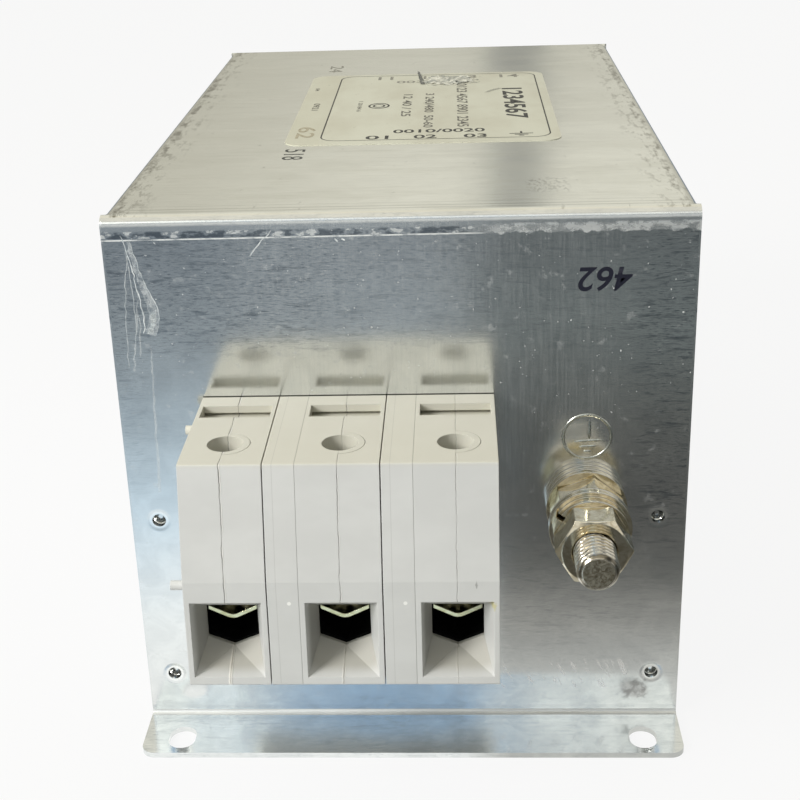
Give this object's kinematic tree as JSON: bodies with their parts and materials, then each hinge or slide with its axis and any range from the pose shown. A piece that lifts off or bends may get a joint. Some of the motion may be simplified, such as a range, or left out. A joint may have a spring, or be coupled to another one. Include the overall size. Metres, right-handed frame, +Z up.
{
  "type": "emi line filter",
  "caption": "Chassis EMI line filter: folded sheet case with slotted foot flanges, moulded feed-through screw terminals and an earth stud at each end.",
  "frame": {"origin": "centre of the case's base, on the surface that it stands on", "axes": "+X to the right when facing the load end, +Y towards the line end, +Z up"},
  "size_m": [0.14, 0.3122, 0.1401],
  "materials": {
    "galvanised_sheet": "cold-rolled galvanised sheet with fine streaks, semi-bright",
    "label_film": "pale matt self-adhesive film",
    "terminal_plastic": "light warm grey moulded polyamide",
    "zinc_plated_steel": "zinc plated, dull",
    "yellow_passivated_steel": "steel strip, yellow passivated",
    "tinned_copper": "tinned copper bar",
    "nickel_plated_brass": "nickel plated brass, slightly warm",
    "spring_steel": "plated spring steel",
    "black_plastic": "black moulded plastic",
    "core_case": "dark blue core case",
    "enamelled_copper": "enamelled copper wire",
    "capacitor_case": "blue film capacitor case",
    "tinned_wire": "tinned copper wire",
    "resistor_body": "lacquered resistor body"
  },
  "bodies": {
    "root": {"hood": "galvanised_sheet", "base_plate": "galvanised_sheet", "rating_label": "label_film", "load_terminal_1_left_shell": "terminal_plastic", "load_terminal_1_right_shell": "terminal_plastic", "load_terminal_2_left_shell": "terminal_plastic", "load_terminal_2_right_shell": "terminal_plastic", "load_terminal_3_left_shell": "terminal_plastic", "load_terminal_3_right_shell": "terminal_plastic", "line_terminal_1_left_shell": "terminal_plastic", "line_terminal_1_right_shell": "terminal_plastic", "line_terminal_2_left_shell": "terminal_plastic", "line_terminal_2_right_shell": "terminal_plastic", "line_terminal_3_left_shell": "terminal_plastic", "line_terminal_3_right_shell": "terminal_plastic", "load_spacer_1": "terminal_plastic", "load_spacer_2": "terminal_plastic", "line_spacer_1": "terminal_plastic", "line_spacer_2": "terminal_plastic", "load_clamp_cage_1": "zinc_plated_steel", "load_clamp_cage_2": "zinc_plated_steel", "load_clamp_cage_3": "zinc_plated_steel", "line_clamp_cage_1": "zinc_plated_steel", "line_clamp_cage_2": "zinc_plated_steel", "line_clamp_cage_3": "zinc_plated_steel", "load_pressure_plate_1": "yellow_passivated_steel", "load_pressure_plate_2": "yellow_passivated_steel", "load_pressure_plate_3": "yellow_passivated_steel", "line_pressure_plate_1": "yellow_passivated_steel", "line_pressure_plate_2": "yellow_passivated_steel", "line_pressure_plate_3": "yellow_passivated_steel", "load_current_bar_1": "tinned_copper", "load_current_bar_2": "tinned_copper", "load_current_bar_3": "tinned_copper", "line_current_bar_1": "tinned_copper", "line_current_bar_2": "tinned_copper", "line_current_bar_3": "tinned_copper", "clamp_screws": "zinc_plated_steel", "earth_studs": "nickel_plated_brass", "earth_wall_washers": "nickel_plated_brass", "earth_base_washers": "nickel_plated_brass", "earth_base_nuts": "nickel_plated_brass", "earth_lug_washers": "nickel_plated_brass", "earth_spring_washers": "spring_steel", "earth_outer_nuts": "nickel_plated_brass", "choke_saddle": "black_plastic", "choke_core": "core_case", "choke_winding_l1": "enamelled_copper", "choke_winding_l2": "enamelled_copper", "choke_winding_l3": "enamelled_copper", "load_x_capacitors": "capacitor_case", "line_x_capacitors": "capacitor_case", "load_capacitor_leads": "tinned_wire", "line_capacitor_leads": "tinned_wire", "y_capacitors": "capacitor_case", "discharge_resistors": "resistor_body"}
  },
  "joints": []
}
